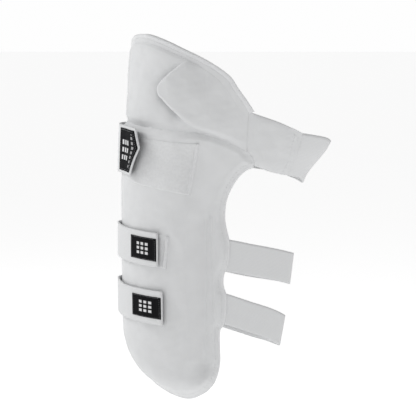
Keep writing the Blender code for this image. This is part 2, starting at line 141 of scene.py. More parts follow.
PUCKER_DEPTH, PUCKER_REACH, PUCKER_SIZE = 0.0005, 0.009, 0.012

STRAP_LIFTS = (  # turn, then the lift of a strap's inner face
    (-13, 0.003), (-36, 0.0026), (-205, 0.0026), (-215, 0.003), (-222, 0.0038), (-230, 0.0062),
    (-240, 0.012), (-250, 0.02), (-260, 0.0274), (-272, 0.0298), (-290, 0.0284), (-330, 0.0278),
)
SWING_TURN, PEEL_TURN = -180, -264
JOIN_TURN = -236  # where the elastic is sewn to the tab webbing
ELASTIC_THICKNESS, TAB_THICKNESS = 0.0016, 0.0019
# Each strap: turn and height along its middle; the turns of its two ends; its widths; how far its end stands
# up and how many degrees its end's lower and upper corners are cut back; and on its end, the turns of the
# label and the hooks. The loop patch has two ends, a width at each, and the slant of its second end.
STRAPS = {
    "upper": {
        "heights": (
            (-40, 0.135), (-51, 0.1325), (-70, 0.126), (-90, 0.118), (-112, 0.1205), (-135, 0.1265),
            (-180, 0.134), (-230, 0.137), (-272, 0.137), (-316, 0.1345),
        ),
        "root": -46.0,
        "end": -316.4,
        "elastic_width": 0.05,
        "tab_width": 0.057,
        "end_rise": 0.01,
        "end_cut": (11.0, 4.0),
        "patch": ((-279, 0.1295), (-349.2, 0.117), (0.05, 0.059), 5.8),
        "label": (-284.0, -315.4),
        "label_width": 0.05,
        "hook": (-279, -315.2),
    },
    "middle": {
        "heights": (
            (0, 0.018), (-13, 0.0145), (-36, 0.006), (-87, -0.0115), (-135, -0.015), (-165, -0.0105),
            (-200, 0.004), (-235, 0.02), (-272, 0.0265), (-290, 0.0245), (-327, 0.022),
        ),
        "root": -7.0,
        "end": -326.5,
        "elastic_width": 0.038,
        "tab_width": 0.04,
        "end_rise": 0.002,
        "end_cut": (0.0, 0.0),
        "patch": ((-288, 0.023), (-332.0, 0.0195), (0.038, 0.038), 2.2),
        "label": (-302.6, -326.0),
        "label_width": 0.0265,
        "hook": (-291, -326.1),
    },
    "lower": {
        "heights": (
            (0, -0.044), (-13, -0.05), (-36, -0.063), (-87, -0.088), (-135, -0.0905),
            (-165, -0.083), (-200, -0.066), (-235, -0.048), (-272, -0.0415), (-290, -0.0445),
            (-330, -0.046),
        ),
        "root": -7.0,
        "end": -329.5,
        "elastic_width": 0.037,
        "tab_width": 0.04,
        "end_rise": 0.0024,
        "end_cut": (0.0, 0.0),
        "patch": ((-288, -0.045), (-328, -0.046), (0.037, 0.037), 0.0),
        "label": (-303.8, -329.0),
        "label_width": 0.0255,
        "hook": (-291, -329.1),
    },
}

# ---- Objects ----


def new_object(name, data):
    item = bpy.data.objects.new(name, data)
    bpy.context.scene.collection.objects.link(item)
    return item


def set_inputs(node, **values):
    """Sets a node's inputs by their names, with _ for a space."""
    for name, value in values.items():
        node.inputs[name.replace("_", " ")].default_value = value


# ---- The thigh's surface and the flat sheet ----


def hermite(share, start, leaving, end, arriving):
    """A smooth curve from start to end with a slope at each."""
    square, cube = share**2, share**3
    return (
        (2 * cube - 3 * square + 1) * start
        + (cube - 2 * square + share) * leaving
        + (3 * square - 2 * cube) * end
        + (cube - square) * arriving
    )


def smooth_table(table, position, column):
    """A column of the table at positions in its first column, on a smooth curve."""
    rows = np.array(table, float)
    if rows[0, 0] > rows[-1, 0]:
        rows = rows[::-1]
    places, values = rows[:, 0], rows[:, column]
    position = np.clip(position, places[0], places[-1])
    low = np.clip(np.searchsorted(places, position) - 1, 0, len(places) - 2)
    before, after = np.maximum(low - 1, 0), np.minimum(low + 2, len(places) - 1)
    span = places[low + 1] - places[low]
    slope_low = (values[low + 1] - values[before]) / (places[low + 1] - places[before])
    slope_high = (values[after] - values[low]) / (places[after] - places[low])
    share = (position - places[low]) / span
    return hermite(share, values[low], span * slope_low, values[low + 1], span * slope_high)


def place(flat, lift):
    """Points in space for points of the flat sheet with their lifts."""
    flat = np.asarray(flat, float)
    angle, height = flat[..., 0] / UNROLL_RADIUS, flat[..., 1]
    front, back, side = (smooth_table(THIGH, height, column) for column in (1, 2, 3))
    centre, half = (back - front) / 2, (back + front) / 2
    sine, cosine = np.sin(angle), np.cos(angle)
    square = (sine / half) ** 2 + (cosine / side) ** 2
    linear = 2 * sine * centre / half**2
    rest = (centre / half) ** 2 - 1
    radius = (np.sqrt(linear**2 - 4 * square * rest) - linear) / (2 * square) + lift
    return np.stack([-radius * sine, -radius * cosine, height + 0 * radius], axis=-1)


def unrolled(turn):
    """How far along the flat sheet a turn in degrees is."""
    return np.radians(turn) * UNROLL_RADIUS


def turn_of(flat):
    return np.degrees(flat[..., 0] / UNROLL_RADIUS)


def laid_flat(points):
    points = np.array(points, float)
    return np.stack([unrolled(points[:, 0]), points[:, 1]], axis=-1)


def smooth_line(points):
    """Samples of a smooth line through the points."""
    share = np.arange(SAMPLES_PER_SPAN)[:, None] / SAMPLES_PER_SPAN
    last = len(points) - 1
    line = []
    for index in range(last):
        start, end = points[index], points[index + 1]
        before, after = points[max(index - 1, 0)], points[min(index + 2, last)]
        line.append(hermite(share, start, (end - before) / 2, end, (after - start) / 2))
    return np.vstack([*line, points[-1:]])


def walked(line):
    """How far along a line each of its points is."""
    steps = np.linalg.norm(np.diff(line, axis=0), axis=1)
    return np.concatenate([[0], np.cumsum(steps)])


def line_length(line):
    return float(walked(line)[-1])


def along(line, shares):
    """Points at shares, 0 to 1, of a line's length."""
    lengths = walked(line)
    at = np.asarray(shares) * lengths[-1]
    return np.stack([np.interp(at, lengths, line[:, axis]) for axis in range(line.shape[1])], axis=-1)


def unit(vectors):
    return vectors / np.linalg.norm(vectors, axis=-1, keepdims=True)


def left_of(line):
    """The direction to the left of a line at each of its points."""
    heading = unit(np.gradient(line, axis=0))
    return np.stack([-heading[:, 1], heading[:, 0]], axis=-1)


def line_distance(flat, line, signed=False):
    """Distance from points to a line; signed gives 0 to the right of the line's direction."""
    points = np.asarray(flat, float).reshape(-1, 2)
    best = np.full(len(points), 1.0)
    inside = np.zeros(len(points), bool)
    for start, end in zip(line[:-1], line[1:]):
        run = end - start
        span = run @ run
        if span < 1e-14:
            continue
        away = points - start
        t = np.clip(away @ run / span, 0, 1)
        distance = np.linalg.norm(away - t[:, None] * run, axis=1)
        closer = distance < best
        best[closer] = distance[closer]
        if signed:
            side = run[0] * away[:, 1] > run[1] * away[:, 0]
            inside[closer] = side[closer]
    if signed:
        best = np.where(inside, best, 0.0)
    return best.reshape(np.shape(flat)[:-1])


def rounded(value):
    """A quarter round, from 0 at 0 to 1 at 1."""
    return np.sqrt(1 - (1 - np.clip(value, 0, 1)) ** 2)


def between(value, low, high):
    """Rises smoothly from 0 at low to 1 at high, and stays at 0 and 1 beyond them; low may be the larger."""
    share = np.clip((value - low) / (high - low), 0, 1)
    return share * share * (3 - 2 * share)


class Patch:
    """A piece of the flat sheet between four smooth edges, read by two shares, from front to rear and up."""

    def __init__(self, bottom, top, front, rear):
        self.bottom, self.top, self.front, self.rear = (
            smooth_line(laid_flat(edge)) for edge in (bottom, top, front, rear)
        )

    def at(self, across, up):
        u, v = across[..., None], up[..., None]
        corners = (1 - v) * ((1 - u) * self.bottom[0] + u * self.bottom[-1]) + v * (
            (1 - u) * self.top[0] + u * self.top[-1]
        )
        low_high = (1 - v) * along(self.bottom, across) + v * along(self.top, across)
        front_rear = (1 - u) * along(self.front, up) + u * along(self.rear, up)
        return low_high + front_rear - corners

    def grid(self, columns, rows, crowd=0.45, margin=0.0):
        """Rows of points that fill the patch, closer to each other near its edges."""
        shares = [np.linspace(0, 1, count) for count in (columns, rows)]
        shares = [s - crowd * np.sin(2 * np.pi * s) / (2 * np.pi) for s in shares]
        width = np.linalg.norm(self.front[0] - self.rear[0])
        height = np.linalg.norm(self.top[0] - self.bottom[0])
        across = margin / width + shares[0] * (1 - 2 * margin / width)
        up = margin / height + shares[1] * (1 - 2 * margin / height)
        return self.at(*np.meshgrid(across, up))


MAIN = Patch(MAIN_BOTTOM, MAIN_TOP, MAIN_FRONT, MAIN_REAR)
HIP = Patch(HIP_BOTTOM, HIP_TOP, HIP_FRONT, HIP_REAR)
BOLSTER = Patch(BOLSTER_BOTTOM, BOLSTER_TOP, BOLSTER_FRONT, BOLSTER_REAR)
WING = Patch(WING_BOTTOM, WING_TOP, WING_FRONT, WING_REAR)
BOLSTER_FREE_TOP = BOLSTER.top[: BOLSTER_FREE_SPANS * SAMPLES_PER_SPAN + 1]
BOLSTER_RIM = np.vstack([BOLSTER_FREE_TOP[::-1], BOLSTER.front[::-1], BOLSTER.bottom])
FOOT_LINE = smooth_line(laid_flat(CORE_FOOT))
CREASE_LINE = smooth_line(laid_flat(FLANGE_CREASE))
RIDGE_LINE = smooth_line(laid_flat(FLANGE_RIDGE))
FREE_TOP = MAIN.top[MAIN.top[:, 0] > unrolled(HIP_END_TURN)]
SEAM_LINE = MAIN.top[len(FREE_TOP) :]
MAIN_OUTLINE = np.vstack([MAIN.rear[::-1], MAIN.bottom[::-1], MAIN.front, FREE_TOP])

# In the forms below, bare numbers are lifts and distances in metres, turns in degrees, and shares.


def ripple(flat, size, seed):
    """Smooth waves of no set pattern, about -1 to 1, with features of the given size."""
    x, y = flat[..., 0] / size, flat[..., 1] / size
    total = 0
    for index in range(4):
        angle = seed * 1.7 + index * 2.4
        waves = (1.0 + 0.37 * index) * (x * math.cos(angle) + y * math.sin(angle))
        total = total + np.sin(2 * math.pi * waves + seed * 3.1 + index)
    return total / 4


def waviness(flat, wide, narrow, seed):
    """Soft unevenness of padded cloth, in wide and narrow waves."""
    return 0.0005 * ripple(flat, wide, seed) + 0.0002 * ripple(flat, narrow, seed + 1)


def crease(distance, width):
    """1 in the middle of a pressed line and 0 away from it."""
    return np.exp(-((distance / width) ** 2))


def puckers(flat, distance, seed):
    """Small gathers of the cloth beside a seam."""
    return PUCKER_DEPTH * np.exp(-distance / PUCKER_REACH) * ripple(flat, PUCKER_SIZE, seed)


def main_form(flat):
    """The thigh section's cover: a soft flange at the rear, full padding, and edges that thin out."""
    turn, height = turn_of(flat), flat[..., 1]
    edge = line_distance(flat, MAIN_OUTLINE)
    top = line_distance(flat, SEAM_LINE)
    rear_width = 0.024 + 0.046 * between(height, 0.06, 0.14)
    rear = between(line_distance(flat, FOOT_LINE, signed=True), 0, rear_width)
    thinning = 1 - (1 - np.clip(edge / 0.031, 0, 1)) ** 2.3
    at_rear = between(turn, 24, 12) * between(height, -0.145, -0.110)
    full = at_rear * rear + (1 - at_rear) * thinning
    flange = EDGE_LIFT + FLANGE_CROWN * between(edge, 0, 0.012)
    lift = flange + (MAIN_LIFT - EDGE_LIFT - FLANGE_CROWN) * full
    lift = lift - 0.0007 * crease(line_distance(flat, CREASE_LINE), 0.0024)
    lift = lift + 0.0011 * crease(line_distance(flat, RIDGE_LINE), 0.0018)
    beside_hip = between(turn, 94, 88)
    roll = 0.0016 * crease(top - 0.0070, 0.0036)
    lift = lift + roll * between(turn, 40, 65) * beside_hip
    tucked = toward_seam(flat, lift, top) - 0.0005 * between(top, 0.0016, 0)
    lift = lift + (tucked - lift) * beside_hip
    gathers = puckers(flat, edge, 11) + puckers(flat, top, 12) * full
    return lift + waviness(flat, 0.055, 0.021, 1) * full + gathers


def rear_fullness(flat):
    """0 at the seam to the wing and 1 further to the front."""
    return between(turn_of(flat), WING_SEAM_TURN, 21.5)


def seam_lift(flat):
    """The cover where the two sections are sewn together."""
    full = SEAM_LIFT + (HIP_LIFT - SEAM_LIFT) * rear_fullness(flat)
    return full - VALLEY_DEPTH * (0.2 + 0.8 * rear_fullness(flat))


def toward_seam(flat, lift, distance):
    """A lift that runs smoothly down to the seam's."""
    return lift + (seam_lift(flat) - lift) * between(distance, VALLEY_WIDTH, 0)


def hip_edge_lift(flat):
    """The outer face of the hip section at its bound edge."""
    turn = turn_of(flat)
    return SEAM_LIFT + 0.0100 * between(turn, -21.5, 4.5) + 0.0022 * between(turn, 30, 72)


def from_outline(flat):
    """Distance to the hip section's bound edge."""
    return np.minimum(line_distance(flat, HIP.front), line_distance(flat, HIP.top))


def off_wing(flat):
    """0 at the seam to the wing and 1 close by."""
    return between(turn_of(flat), WING_SEAM_TURN, WING_SEAM_TURN + 8)


def hip_form(flat):
    """The hip section's cover before its padding fills it."""
    turn = turn_of(flat)
    outside, bottom = from_outline(flat), line_distance(flat, HIP.bottom)
    edge_lift = hip_edge_lift(flat)
    full_lift = SEAM_LIFT + (HIP_LIFT - SEAM_LIFT) * rear_fullness(flat)
    lift = edge_lift + (np.maximum(full_lift, edge_lift) - edge_lift) * rounded((outside - 0.004) / 0.009)
    lift = lift - 0.0006 * crease(outside - 0.0052, 0.0010) * between(turn, 18, 28)
    front_line = between(outside, 0.004, 0.010) * between(bottom, 0.004, 0.010)
    from_line = (turn - HIP_LINE_TURN) * 0.00183  # metres, from degrees
    lift = lift - 0.0010 * crease(from_line, 0.0018) * front_line
    lift = toward_seam(flat, lift, bottom) - bolster_bed(flat)
    soft = waviness(flat, 0.048, 0.019, 3) + puckers(flat, outside, 14)
    return lift + soft * between(outside, 0, 0.015) * between(bottom, 0, 0.012) * off_wing(flat)


def bolster_bed(flat):
    """How deep the hip cover is pressed in beside the bolster's front end."""
    beside = line_distance(flat, BOLSTER_RIM)
    depth = 0.0052 * np.exp(-((beside / 0.0085) ** 1.5)) + 0.0042 * crease(beside, 0.0036)
    below_top = 1 - 0.65 * between(flat[..., 1], 0.210, 0.232)
    return depth * between(turn_of(flat), 14, 26) * below_top


# ---- How the padding fills the covers: a cloth simulation of each cover over its pattern ----

SWELL_STEP = 0.0040  # spacing of the simulated cloth
SWELL_CAP = 0.0015  # most that the cloth may move off its pattern
SWELL_PRESSURE = 5.0
SWELL_FRAMES = 20
SWELL_SMOOTHINGS = 3
SWELL_SLACK = 0.002  # extra cloth sewn into each cover, as a share of its length
SWELL_MARGIN = 0.006  # held along a cover's outline


def read_between(corner, field):
    """A function that reads a field, whose rows start at a corner of the flat sheet, at any points of it."""
    rows, columns = field.shape
    short = 1.001  # of the row's length, so that the last point read is still inside the last cell

    def read(flat):
        x = np.clip((flat[..., 0] - corner[0]) / SWELL_STEP, 0, columns - short)
        y = np.clip((flat[..., 1] - corner[1]) / SWELL_STEP, 0, rows - short)
        column, row = x.astype(int), y.astype(int)
        x, y = x - column, y - row
        low = field[row, column] * (1 - x) + field[row, column + 1] * x
        high = field[row + 1, column] * (1 - x) + field[row + 1, column + 1] * x
        return low * (1 - y) + high * y

    return read


def within(flat, outline):
    """Whether points of the flat sheet lie inside a closed outline."""
    x, y = flat[..., 0], flat[..., 1]
    inside = np.zeros(x.shape, bool)
    for (x0, y0), (x1, y1) in zip(outline, np.roll(outline, -1, axis=0)):
        if y0 == y1:
            continue
        inside ^= ((y0 > y) != (y1 > y)) & (x < (x1 - x0) * (y - y0) / (y1 - y0) + x0)
    return inside


def cloth_moved(points, faces, held):
    """Where the cloth's points end up when it is pressed out from within, with the held points fixed."""
    mesh = bpy.data.meshes.new("cloth")
    mesh.from_pydata(points.tolist(), [], faces.tolist())
    cloth = new_object("cloth", mesh)
    pins = cloth.vertex_groups.new(name="held")
    pins.add(np.flatnonzero(held).tolist(), 1.0, "REPLACE")
    modifier = cloth.modifiers.new("Cloth", "CLOTH")
    settings = modifier.settings
    settings.quality = 6
    settings.mass = 0.25
    settings.tension_stiffness = settings.compression_stiffness = 20
    settings.shear_stiffness = 8
    settings.bending_stiffness = 1.5
    settings.vertex_group_mass = "held"
    settings.shrink_min = -SWELL_SLACK
    settings.use_pressure = True
    settings.uniform_pressure_force = SWELL_PRESSURE
    settings.effector_weights.gravity = 0
    modifier.collision_settings.use_collision = False
    modifier.collision_settings.use_self_collision = False
    modifier.point_cache.frame_end = SWELL_FRAMES
    scene = bpy.context.scene
    for number in range(1, SWELL_FRAMES + 1):
        scene.frame_set(number)
    settled = cloth.evaluated_get(bpy.context.evaluated_depsgraph_get())
    moved = np.empty(len(points) * 3, np.float32)
    settled.data.vertices.foreach_get("co", moved)
    scene.frame_set(1)
    bpy.data.objects.remove(cloth)
    bpy.data.meshes.remove(mesh)
    return moved.reshape(-1, 3)


def swell(patch, form, seams):
    """How far one cover stands off its form, from a simulation that holds its outline and its seams.

    Each seam is a line and how far beside it the cloth is held.
    """
    outline = np.vstack([patch.bottom, patch.rear, patch.top[::-1], patch.front[::-1]])
    low, high = outline.min(axis=0) - SWELL_STEP, outline.max(axis=0) + SWELL_STEP
    columns, rows = (np.ceil((high - low) / SWELL_STEP) + 1).astype(int)
    x, y = np.meshgrid(np.arange(columns), np.arange(rows))
    flat = low + SWELL_STEP * np.stack([x, y], axis=-1)
    held = ~within(flat, outline) | (line_distance(flat, outline) < SWELL_MARGIN)
    for line, reach in seams:
        held |= line_distance(flat, line) < reach
    points = place(flat, form(flat)).reshape(-1, 3)
    index = np.arange(rows * columns).reshape(rows, columns)
    corners = [index[:-1, :-1], index[1:, :-1], index[1:, 1:], index[:-1, 1:]]
    faces = np.stack(corners, axis=-1).reshape(-1, 4)
    used = ~held.ravel()[faces].all(axis=1)
    kept, faces = np.unique(faces[used], return_inverse=True)
    moved = cloth_moved(points[kept], faces.reshape(-1, 4), held.ravel()[kept]) - points[kept]
    outward = unit(points[kept] * (1, 1, 0))
    field = np.zeros(rows * columns)
    field[kept] = SWELL_CAP * np.tanh((moved * outward).sum(axis=1) / SWELL_CAP)
    field = field.reshape(rows, columns)
    for _ in range(SWELL_SMOOTHINGS):
        around = field[:-2, 1:-1] + field[2:, 1:-1] + field[1:-1, :-2] + field[1:-1, 2:]
        field[1:-1, 1:-1] = (4 * field[1:-1, 1:-1] + around) / 8
    return read_between(low, field)


def under_strap(strap):
    """The line where a strap holds the thigh section's cover down, and its reach."""
    pressed = [(turn + 360, height) for turn, height in strap["heights"] if turn < -240]
    return laid_flat(pressed), strap["tab_width"] / 2


STRAPPED = tuple(under_strap(strap) for strap in STRAPS.values())
MAIN_SWELL = swell(MAIN, main_form, ((CREASE_LINE, 0.004), *STRAPPED))
HIP_SWELL = swell(HIP, hip_form, ((BOLSTER_RIM, 0.009),))
BOLSTER_SWELL = swell(BOLSTER, hip_form, ())


def main_lift(flat):
    return main_form(flat) + MAIN_SWELL(flat)


def hip_lift(flat):
    return hip_form(flat) + HIP_SWELL(flat) * off_wing(flat)


def bolster_lift(flat):
    turn = turn_of(flat)
    front, bottom = line_distance(flat, BOLSTER.front), line_distance(flat, BOLSTER.bottom)
    upper = line_distance(flat, BOLSTER.top)
    own_edge = 0.30 * between(turn, 18, 12)  # where the lower edge is the hip section's own, it stays full
    lower = np.minimum(rounded(front / 0.0060), own_edge + (1 - own_edge) * rounded(bottom / 0.0070))
    free_top = between(turn, 13, 27)  # 0 where the bolster's upper edge runs beside the bound edge
    bound_top = 0.10 + 0.90 * between(upper, 0, 0.034)
    lip = np.minimum(lower, free_top * rounded(upper / 0.0060) + (1 - free_top) * bound_top)
    lean = 1 - 0.62 * between(turn, 34, -11)
    inner = rounded(np.minimum(np.minimum(front, bottom + 0.02 * own_edge), upper) / 0.004)
    rise = BOLSTER_RISE * between(turn, -21.5, 0.5) * lean + bolster_bed(flat)
    return hip_lift(flat) - 0.0008 * (1 - inner) + (rise + BOLSTER_SWELL(flat)) * lip


def wing_lift(flat):
    turn, height = turn_of(flat), flat[..., 1]
    near = np.minimum(line_distance(flat, WING.top), line_distance(flat, WING.bottom))
    toward_hip = between(turn, -52, -21)
    full = WING_LIFT + (SEAM_LIFT - WING_LIFT) * toward_hip
    edge = WING_EDGE_LIFT + 0.0020 * toward_hip
    lift = edge + (full - edge + 0.0012) * rounded(near / 0.008)
    lift = lift - 0.0005 * sum(crease(turn - at, 0.35) for at in WING_SEAM_ROWS)
    from_elastic = np.abs(turn + 47) * 0.0018  # metres, from degrees
    soft = 0.0004 * ripple(flat, 0.03, 6) + puckers(flat, from_elastic, 15)
    lift = lift + soft * rounded(near / 0.008) * between(turn, -52, -48)
    beside = np.where(height < WING_CORNER_HEIGHT, main_lift(flat), hip_lift(flat)) - 0.0001
    return lift + (beside - lift) * between(line_distance(flat, WING.front), 0.010, 0)


# ---- Materials ----


class Nodes:
    """A material's node tree, with short calls to add and join nodes."""

    def __init__(self, name, colour, roughness, sheen=0.0):
        self.material = bpy.data.materials.new(name)
        self.material.use_nodes = True
        self.tree = self.material.node_tree
        self.shader = self.tree.nodes["Principled BSDF"]
        set_inputs(self.shader, Base_Color=(*colour, 1), Roughness=roughness, Specular_IOR_Level=0.3)
        set_inputs(self.shader, Sheen_Weight=sheen, Sheen_Roughness=0.6)
        self.sheet = self.add("ShaderNodeUVMap")
        self.sheet.uv_map = "sheet"

    def add(self, kind, **inputs):
        node = self.tree.nodes.new(kind)
        set_inputs(node, **inputs)
        return node

    def join(self, source, target):
        self.tree.links.new(source, target)

    def on_sheet(self, kind, **inputs):
        """A texture laid on the piece's flat coordinates."""
        node = self.add(kind, **inputs)
        self.join(self.sheet.outputs["UV"], node.inputs["Vector"])
        return node

    def maths(self, operation, first, second=0.5):
        node = self.add("ShaderNodeMath")
        node.operation = operation
        for socket, value in zip(node.inputs, (first, second)):
            if isinstance(value, (int, float)):
                socket.default_value = value
            else:
                self.join(value, socket)
        return node.outputs[0]

    def product(self, first, *others):
        for other in others:
            first = self.maths("MULTIPLY", first, other)
        return first

    def near(self, value, middle, reach):
        """1 where a value is within reach of a middle one, and 0 elsewhere."""
        away = self.maths("ABSOLUTE", self.maths("SUBTRACT", value, middle))
        return self.maths("LESS_THAN", away, reach)

    def noise(self, scale, detail=3.0):
        return self.on_sheet("ShaderNodeTexNoise", Scale=scale, Detail=detail).outputs["Fac"]

    def ribs(self, pitch, across, share=0.5):
        """Waves from 0 to 1 with a pitch in metres, along the sheet's first or second direction."""
        scale = 2 * math.pi / 20 / pitch  # a wave texture of scale 1 has a pitch of 2 pi / 20
        wave = self.on_sheet("ShaderNodeTexWave", Scale=scale)
        wave.bands_direction = "Y" if across else "X"
        return self.maths("MULTIPLY", wave.outputs["Fac"], share)

    def finish(self, height, depth, strength, tone, dark, light, spread=(0.3, 0.7)):
        """The material, bumped by a height and coloured from dark to light by a tone."""
        bump = self.add("ShaderNodeBump", Strength=strength, Distance=depth)
        self.join(height, bump.inputs["Height"])
        self.join(bump.outputs["Normal"], self.shader.inputs["Normal"])
        ramp = self.add("ShaderNodeValToRGB")
        for stop, colour, position in zip(ramp.color_ramp.elements, (dark, light), spread):
            stop.color = (*colour, 1)
            stop.position = position
        self.join(tone, ramp.inputs["Fac"])
        self.join(ramp.outputs["Color"], self.shader.inputs["Base Color"])
        return self.material


def grey(value, cool=0.006):
    return (value - cool, value, value + cool)


def cover_fabric():
    """Smooth coated polyester with a fine plain weave."""
    make = Nodes("cover_fabric", grey(0.64), 0.6, sheen=0.08)
    mottle = make.noise(60, 4)
    weave = make.maths("ADD", make.ribs(0.0009, False), make.ribs(0.0009, True))
    height = make.maths("ADD", weave, make.product(mottle, 0.8))
    return make.finish(height, 0.00012, 0.6, mottle, grey(0.625), grey(0.655))


def towelling():
    """Looped cotton, as on the inside of the guard."""
    make = Nodes("towelling", grey(0.63), 0.95, sheen=0.15)
    cells = make.on_sheet("ShaderNodeTexVoronoi", Scale=650)
    height = make.maths("ADD", cells.outputs["Distance"], make.noise(900, 2))
    return make.finish(height, 0.0006, 0.9, make.noise(90, 5), grey(0.58), grey(0.66))


def elastic_webbing_painted_rib_shade():
    """Woven elastic: fine ribs across its length between cords that run along it. Its grooves are darker as
    painted shade, since the colour follows the height.
    """
    make = Nodes("elastic_webbing_painted_rib_shade", grey(0.655), 0.8, sheen=0.1)
    woven = make.maths("ADD", make.ribs(0.0013, False), make.ribs(0.0016, True, 0.35))
    height = make.maths("ADD", woven, make.product(make.noise(400, 2), 0.3))
    # Tone is the bump height: darker grooves are painted shade of the ribs, and the noise in it adds random
    # mottle.
    return make.finish(height, 0.00022, 0.75, height, grey(0.61), grey(0.68), (0.2, 0.9))


def loop_pile():
    """The fuzzy half of hook-and-loop tape."""
    make = Nodes("loop_pile", grey(0.66), 0.95, sheen=0.12)
    clumps = make.noise(320, 3)
    height = make.maths("ADD", make.noise(1500, 4), clumps)
    return make.finish(height, 0.00035, 0.8, clumps, grey(0.635), grey(0.685))


def hook_tape_painted_shadow():
    """The hooked half: rows of small stiff hooks. Its dark grey is painted shadow for the gap under each
    tab's raised end; the rows' lows are darker, painted shade.
    """
    # Dark grey base colour: painted shadow, standing in for the shade under the raised tab ends.
    make = Nodes("hook_tape_painted_shadow", grey(0.10), 0.5)
    rows = make.product(make.ribs(0.0016, False, 1.0), make.ribs(0.0016, True, 1.0))
    # Tone follows the rows of hooks, darker between them: painted shade.
    return make.finish(rows, 0.0006, 1.0, rows, grey(0.06), grey(0.13), (0.1, 0.7))


def binding_tape():
    make = Nodes("binding_tape", grey(0.68), 0.7, sheen=0.1)
    height = make.maths("ADD", make.ribs(0.0008, False), make.noise(700, 2))
    return make.finish(height, 0.00018, 0.7, make.noise(120, 3), grey(0.66), grey(0.70))


def thread(name, dark, light):
    make = Nodes(name, light, 0.6, sheen=0.2)
    twist = make.noise(2500, 2)
    return make.finish(twist, 0.0001, 0.5, twist, dark, light)


def grainy(make, scale, depth, strength, dark, light):
    """Finishes a material for a solid of the frame, which has no flat coordinates."""
    coordinates = make.add("ShaderNodeTexCoord")
    noise = make.add("ShaderNodeTexNoise", Scale=scale)
    make.join(coordinates.outputs["Object"], noise.inputs["Vector"])
    return make.finish(noise.outputs["Fac"], depth, strength, noise.outputs["Fac"], dark, light)


def flex_cloth():
    make = Nodes("flex_cloth", grey(0.60), 0.9, sheen=0.1)
    return grainy(make, 900, 0.0003, 0.8, grey(0.56), grey(0.64))


def moulded_plate():
    make = Nodes("moulded_plate", (0.04, 0.04, 0.045), 0.45)
    return grainy(make, 1200, 0.0002, 0.5, (0.03, 0.03, 0.034), (0.05, 0.05, 0.055))


CHECK_FILL = 0.62  # share of its cell that each square of a label's check fills


def woven_check(make, across, up, centre, reach):
    """Three rows of three small squares about a centre of the label."""
    shown = 1.0
    for position, middle, half in ((across, centre[0], reach[0]), (up, centre[1], reach[1])):
        cells = make.product(make.maths("SUBTRACT", position, middle), 3 / (2 * half))
        cells = make.maths("FRACT", make.maths("ADD", cells, CHECK_FILL / 2))
        squares = make.maths("LESS_THAN", cells, CHECK_FILL)
        shown = make.product(squares, make.near(position, middle, half), shown)
    return shown


def woven_dashes(make, across, up):
    """A column of short grey bars near the label's pointed end."""
    bars = make.maths("LESS_THAN", make.maths("FRACT", make.product(up, 9.0)), 0.6)
    return make.product(make.near(across, 0.83, 0.045), bars, make.near(up, 0.5, 0.40), 0.5)


def label_cloth(name, pointed):
    """Black woven label with a plain check; the sheet runs 0 to 1 along and across the label."""
    make = Nodes(name, (0.005, 0.005, 0.006), 0.9)
    set_inputs(make.shader, Specular_IOR_Level=0.12)
    split = make.on_sheet("ShaderNodeSeparateXYZ")
    across, up = split.outputs["X"], split.outputs["Y"]
    if pointed:
        check = woven_check(make, across, up, (0.40, 0.5), (0.24, 0.27))
        shown = make.maths("MAXIMUM", check, woven_dashes(make, across, up))
    else:
        shown = woven_check(make, across, up, (0.5, 0.5), (0.25, 0.30))
    speckle = make.maths("ADD", make.product(make.noise(160, 2), 0.5), 0.72)
    ribs = make.on_sheet("ShaderNodeTexWave", Scale=14)
    height = make.maths("ADD", ribs.outputs["Fac"], shown)
    colours = (0.004, 0.004, 0.005), (0.68, 0.68, 0.69)
    return make.finish(height, 0.0002, 0.8, make.product(shown, speckle), *colours, spread=(0.0, 1.0))


COVER, TOWEL, ELASTIC_PAINTED_RIB_SHADE, PILE = cover_fabric(), towelling(), elastic_webbing_painted_rib_shade(), loop_pile()
HOOKS_PAINTED_SHADOW, BINDING, THREAD = hook_tape_painted_shadow(), binding_tape(), thread("sewing_thread", grey(0.56), grey(0.62))
LABEL_THREAD = thread("label_thread", grey(0.10), grey(0.30))

# ---- Meshes ----


def mesh_piece(name, points, faces, sheet, material):
    """A smooth-shaded piece from points, faces and their flat coordinates."""
    mesh = bpy.data.meshes.new(name)
    mesh.from_pydata(np.asarray(points).tolist(), [], [tuple(map(int, face)) for face in faces])
    layer = mesh.uv_layers.new(name="sheet")
    corners = np.empty(len(mesh.loops), int)
    mesh.loops.foreach_get("vertex_index", corners)
    layer.data.foreach_set("uv", np.asarray(sheet, float)[corners].astype(np.float32).ravel())
    mesh.materials.append(material)
    mesh.update()
    mesh.shade_smooth()
    piece = new_object(name, mesh)
    return piece


def closed_faces(rows, columns):
    """Faces of two grids of points, outer first, joined round their rim."""
    index = np.arange(rows * columns).reshape(rows, columns)
    low_left, low_right = index[:-1, :-1], index[:-1, 1:]
    up_right, up_left = index[1:, 1:], index[1:, :-1]
    outer = np.stack([low_left, low_right, up_right, up_left], axis=-1).reshape(-1, 4)
    inner = outer[:, ::-1] + rows * columns
    rim = np.concatenate([index[0, :], index[1:, -1], index[-1, -2::-1], index[-2::-1, 0]])
    walls = np.stack([rim[:-1], rim[:-1] + rows * columns, rim[1:] + rows * columns, rim[1:]], axis=-1)
    return np.vstack([outer, inner, walls])


def sheet_piece(name, flat, outer, inner, material, slot, sheet=None):
    """A closed piece between two faces over the same rows of the flat sheet.

    outer and inner are lifts, or points in space.
    """
    faces = [place(flat, face) if np.ndim(face) < 3 else face for face in (outer, inner)]
    rows, columns = flat.shape[:2]
    points = np.vstack([face.reshape(-1, 3) for face in faces])
    coordinates = np.vstack([(flat if sheet is None else sheet).reshape(-1, 2)] * 2)
    return mesh_piece(name, points, closed_faces(rows, columns), coordinates, material)


def level(flat, lift):
    """The same lift for every point."""
    return 0 * flat[..., 0] + lift


